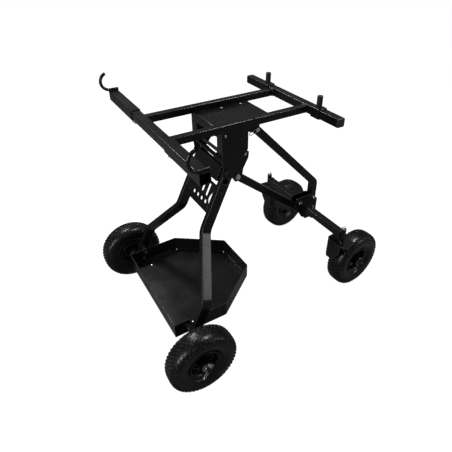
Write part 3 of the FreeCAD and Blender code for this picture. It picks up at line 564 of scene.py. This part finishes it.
def frame_welds():
    """Beads at both ends of the rails, along the side plates and beside the brace bracket."""
    runs = []
    for side in SIDES:
        low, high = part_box(side + "_rail")
        middle = ((low[1] + high[1]) / 2, (low[2] + high[2]) / 2)
        half = (high[1] - low[1]) / 2
        runs.append((square_loop(0, low[0], middle, half, half), True))
        sign = 1 if side == "left" else -1
        inner = middle[0] - sign * half
        outer = middle[0] + sign * (half - PEG_ROOM)
        x = high[0]
        front = ((x, outer, high[2]), (x, inner, high[2]), (x, inner, low[2]), (x, outer, low[2]))
        runs.append((front, False))
        low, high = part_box(side + "_side_plate")
        y = high[1] if side == "left" else low[1]
        top = high[2]
        runs.append((((low[0] + 2 * MM, y, top), (high[0] - 2 * MM, y, top)), False))
    low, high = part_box("brace_bracket")
    for y in (low[1], high[1]):
        runs.append((((low[0], y, high[2]), (low[0] + BRACKET_RUN, y, high[2])), False))
    return runs


def hook_welds(side):
    """A bead along each side of the hook's foot, where the bar lies on the sleeve."""
    low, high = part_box(side + "_hook")
    arm_low, arm_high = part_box(side + "_hook_arm")
    z = arm_high[2] + 1.0 * MM
    middle = (low[1] + high[1]) / 2
    half_foot = 3.6 * MM
    return [(((arm_low[0] + 8 * MM, y, z), (high[0] - 1 * MM, y, z)), False)
            for y in (middle - half_foot, middle + half_foot)]


def peg_welds(side):
    """A bead round the foot of the post, on top of the collar."""
    low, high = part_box(side + "_peg_grip")
    collar_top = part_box("front_cross_tube")[1][2] + 3.6 * MM
    centre = ((low[0] + high[0]) / 2, (low[1] + high[1]) / 2, collar_top)
    return [(ring_points(centre, 6.2 * MM, 2), True)]


def leg_welds():
    """A bead round each rear axle stub, on the outer face of its leg."""
    runs = []
    low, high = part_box("rear_axle_stubs")
    axle = Vector(((low[0] + high[0]) / 2, 0, (low[2] + high[2]) / 2))
    for side, face in (("left", 1), ("right", 0)):
        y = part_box(side + "_rear_leg")[face][1]
        runs.append((ring_points(axle + Vector((0, y, 0)), 12.3 * MM, 1), True))
    return runs


def strut_welds():
    """Beads where the beam meets the kingpin housings, and beside the brace in the hub bracket."""
    runs = []
    low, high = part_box("front_axle_beam")
    middle = ((low[0] + high[0]) / 2, low[2] + 32 * MM)
    half_beam = 15 * MM
    housing = 21.5 * MM
    for side in (1, -1):
        y = side * (high[1] - housing)
        runs.append((square_loop(1, y, middle, half_beam, half_beam), True))
    low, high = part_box("hub_bracket")
    bottom, top = low[2] + 18 * MM, high[2] - 34 * MM
    brace_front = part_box("brace")[1][0]
    brace_depth = 30 * MM
    cheek = 0.82
    for y in (low[1] * cheek, high[1] * cheek):
        for x in (brace_front, brace_front - brace_depth):
            runs.append((((x, y, bottom), (x, y, top)), False))
    return runs


def caster_welds(side):
    """Beads inside the folded corners of a caster bracket."""
    middle = centre_of(side + "_kingpin")
    king = Vector((middle.x, middle.y, 0))
    turn = Matrix.Rotation(wheel_heading("front_" + side), 3, "Z")
    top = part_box(side + "_caster_bracket")[1][2] - 5 * MM
    sign = 1 if side == "left" else -1
    inner = -sign * 55 * MM
    outer = sign * 42 * MM
    back = -26 * MM
    front = back + 62 * MM
    bevel = 12 * MM
    corner = inner + sign * bevel
    drop = 84 * MM
    runs = (((back, corner, top), (back, outer, top)),
            ((back + bevel, inner, top), (front, inner, top)),
            ((back, corner, top), (back, corner, top - drop)))
    return [([king + turn @ Vector(point) for point in run], False) for run in runs]


def make_all_welds(materials):
    """Every body's beads."""
    make_welds("frame_weld_beads", "top_frame", frame_welds(), materials)
    make_welds("leg_weld_beads", "rear_legs", leg_welds(), materials)
    make_welds("strut_weld_beads", "front_strut", strut_welds(), materials)
    for side in SIDES:
        make_welds(side + "_hook_weld_beads", side + "_arm", hook_welds(side), materials)
        make_welds(side + "_peg_weld_bead", side + "_peg", peg_welds(side), materials)
        make_welds(side + "_caster_weld_beads", side + "_caster", caster_welds(side), materials)


# ---------------------------------------------------------------- small hardware

HEAD_SIDES = 20
WASHER_SIDES = 36
# Places of the gusset's screws down the legs, as leg_point shares.
LEG_SCREWS = (0.136, 0.294)


def add_head(build, centre, out, radius, height):
    """Domed screw head standing on a face; out is the direction it faces."""
    out = Vector(out)
    outline = ((-0.2, 1.0), (0.0, 1.0), (0.45, 0.96), (0.8, 0.72), (1.0, 0.34))
    points = [Vector(centre) + out * height * t for t, _ in outline]
    add_tube(build, points, [radius * r for _, r in outline], HEAD_SIDES)


def add_washer(build, centre, out, inner, outer, thickness):
    """Flat washer with a chamfered outer edge, standing on a face; out is the way it faces."""
    out = Vector(out)
    side = out.orthogonal().normalized()
    other = out.cross(side)
    edge = thickness * 0.25
    outline = ((inner, 0.0), (inner, thickness), (outer - edge, thickness),
               (outer, thickness - edge), (outer, 0.0))
    outlines = []
    for k in range(WASHER_SIDES):
        a = 2 * math.pi * k / WASHER_SIDES
        ray = side * math.cos(a) + other * math.sin(a)
        outlines.append([build.verts.new(Vector(centre) + ray * r + out * w) for r, w in outline])
    skin_loop(build, outlines)


def leg_point(share, y):
    """Point on the legs' middle line: share is 0 at the pivot tube and 1 at the axle stubs."""
    top = centre_of("pivot_tube") + Vector((10.5, 0, 0)) * MM
    foot = centre_of("rear_axle_stubs") + Vector((8.5, 0, 0)) * MM
    point = top.lerp(foot, share)
    return Vector((point.x, y, point.z))


def make_leg_screws(materials):
    """Screws through each leg's outer face into the gusset's edge flanges."""
    build = bmesh.new()
    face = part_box("leg_cross_tube")[1][1]
    for side in (1, -1):
        for share in LEG_SCREWS:
            add_head(build, leg_point(share, side * face), (0, side, 0), 3.6 * MM, 2.4 * MM)
    finish_piece("leg_screws", build, materials, "zinc_hardware", "rear_legs", 40.0)


def make_tray_screws(materials):
    """Low domed screws through the tray floor."""
    rear, _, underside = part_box("tray")[0]
    floor = underside + 2.0 * MM
    build = bmesh.new()
    for side in (1, -1):
        at = (rear + 73.0 * MM, side * 181.0 * MM, floor)
        add_head(build, at, (0, 0, 1), 5.0 * MM, 2.6 * MM)
    finish_piece("tray_screws", build, materials, "zinc_hardware", "rear_legs", 40.0)


def make_washers(materials):
    """Washers under the head and nut of the strut's hinge bolt."""
    build = bmesh.new()
    bolt = centre_of("strut_hinge_bolt")
    low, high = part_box("strut_bracket")
    for side, y in ((1, high[1]), (-1, low[1])):
        add_washer(build, (bolt.x, y, bolt.z), (0, side, 0), 5.2 * MM, 10.5 * MM, 1.2 * MM)
    finish_piece("hinge_washers", build, materials, "zinc_hardware", "rear_legs", 40.0)


# ---------------------------------------------------------------- stage

CAMERA_AT = Vector((-0.7685, -1.1448, 1.3737))
AZIMUTH = -32.38
ELEVATION = 35.29
ROLL = 0.42
SENSOR = 36.0
LENS = 32.53
SHIFT = (-0.0273, -0.0360)
FLOOR_HALF = 14.0
FLOOR_Z = -0.0005
SEEN_BRIGHTNESS = 0.97
SURROUND_LIGHT = 0.13


def make_camera():
    """Camera from its place, direction and roll; azimuth and elevation say where it looks."""
    data = bpy.data.cameras.new("camera")
    data.sensor_width = SENSOR
    data.lens = LENS
    data.shift_x, data.shift_y = SHIFT
    data.clip_start = 0.05
    az, el, roll = (math.radians(angle) for angle in (AZIMUTH, ELEVATION, ROLL))
    ahead = Vector((-math.sin(az) * math.cos(el), math.cos(az) * math.cos(el), -math.sin(el)))
    right = Vector((math.cos(az), math.sin(az), 0))
    up = right.cross(ahead)
    turned = right * math.cos(roll) + up * math.sin(roll)
    upright = -right * math.sin(roll) + up * math.cos(roll)
    camera = bpy.data.objects.new("camera", data)
    SCENE.collection.objects.link(camera)
    basis = Matrix((turned, upright, -ahead)).transposed()
    camera.matrix_world = Matrix.Translation(CAMERA_AT) @ basis.to_4x4()
    SCENE.camera = camera


def add_light(name, at, aim, size, watts):
    """Rectangular area light at a point, aimed at another."""
    data = bpy.data.lights.new(name, "AREA")
    data.shape = "RECTANGLE"
    data.size, data.size_y = size
    data.energy = watts
    light = bpy.data.objects.new(name, data)
    SCENE.collection.objects.link(light)
    light.location = at
    light.rotation_euler = (Vector(aim) - Vector(at)).to_track_quat("-Z", "Y").to_euler()


def make_floor():
    """Pale floor: bright where the camera sees it, but throwing little light back on the object."""
    build = bmesh.new()
    corners = ((-1, -1), (1, -1), (1, 1), (-1, 1))
    build.faces.new([build.verts.new((x * FLOOR_HALF, y * FLOOR_HALF, FLOOR_Z)) for x, y in corners])
    mesh = bpy.data.meshes.new("floor")
    build.to_mesh(mesh)
    build.free()
    floor = bpy.data.objects.new("floor", mesh)
    SCENE.collection.objects.link(floor)
    s = Shader("pale floor")
    grain = s.spread(s.noise(3.0), 0.3, 0.7, 0.15, 0.18)
    tone = s.node("ShaderNodeCombineColor", Red=grain, Green=grain, Blue=grain).outputs["Color"]
    seen = s.node("ShaderNodeLightPath").outputs["Is Camera Ray"]
    glow = s.maths("MULTIPLY", seen, SEEN_BRIGHTNESS)
    mesh.materials.append(s.set(Base_Color=tone, Roughness=0.9, Emission_Color=(1.0, 1.0, 1.0, 1.0),
                                Emission_Strength=glow))


def make_surround():
    """White surround, bright to the camera and dim as a light."""
    world = bpy.data.worlds.new("surround")
    SCENE.world = world
    world.use_nodes = True
    nodes = world.node_tree.nodes
    links = world.node_tree.links
    background = nodes["Background"]
    background.inputs["Color"].default_value = (1.0, 1.0, 1.0, 1.0)
    path = nodes.new("ShaderNodeLightPath")
    strength = nodes.new("ShaderNodeMapRange")
    strength.inputs["To Min"].default_value = SURROUND_LIGHT
    strength.inputs["To Max"].default_value = SEEN_BRIGHTNESS
    links.new(path.outputs["Is Camera Ray"], strength.inputs["Value"])
    links.new(strength.outputs["Result"], background.inputs["Strength"])


def make_lights():
    """Soft lights on both sides, and two smaller ones above."""
    add_light("left", (-3.0, -0.6, 1.5), (0.0, 0.0, 0.4), (1.0, 1.6), 60.0)
    add_light("right", (2.4, -2.4, 1.3), (0.0, 0.0, 0.3), (1.0, 1.4), 18.0)
    add_light("top", (0.95, 0.15, 2.8), (0.0, 0.0, 0.6), (0.5, 0.5), 42.0)
    add_light("back", (-0.45, 1.6, 2.5), (0.0, 0.0, 0.6), (0.5, 0.5), 34.0)


# ---------------------------------------------------------------- build

SCENE.view_settings.view_transform = "Standard"
MATERIALS = make_materials()
dress_nodes(MATERIALS)
make_wheels(MATERIALS)
make_all_welds(MATERIALS)
make_leg_screws(MATERIALS)
make_tray_screws(MATERIALS)
make_washers(MATERIALS)
make_camera()
make_floor()
make_surround()
make_lights()
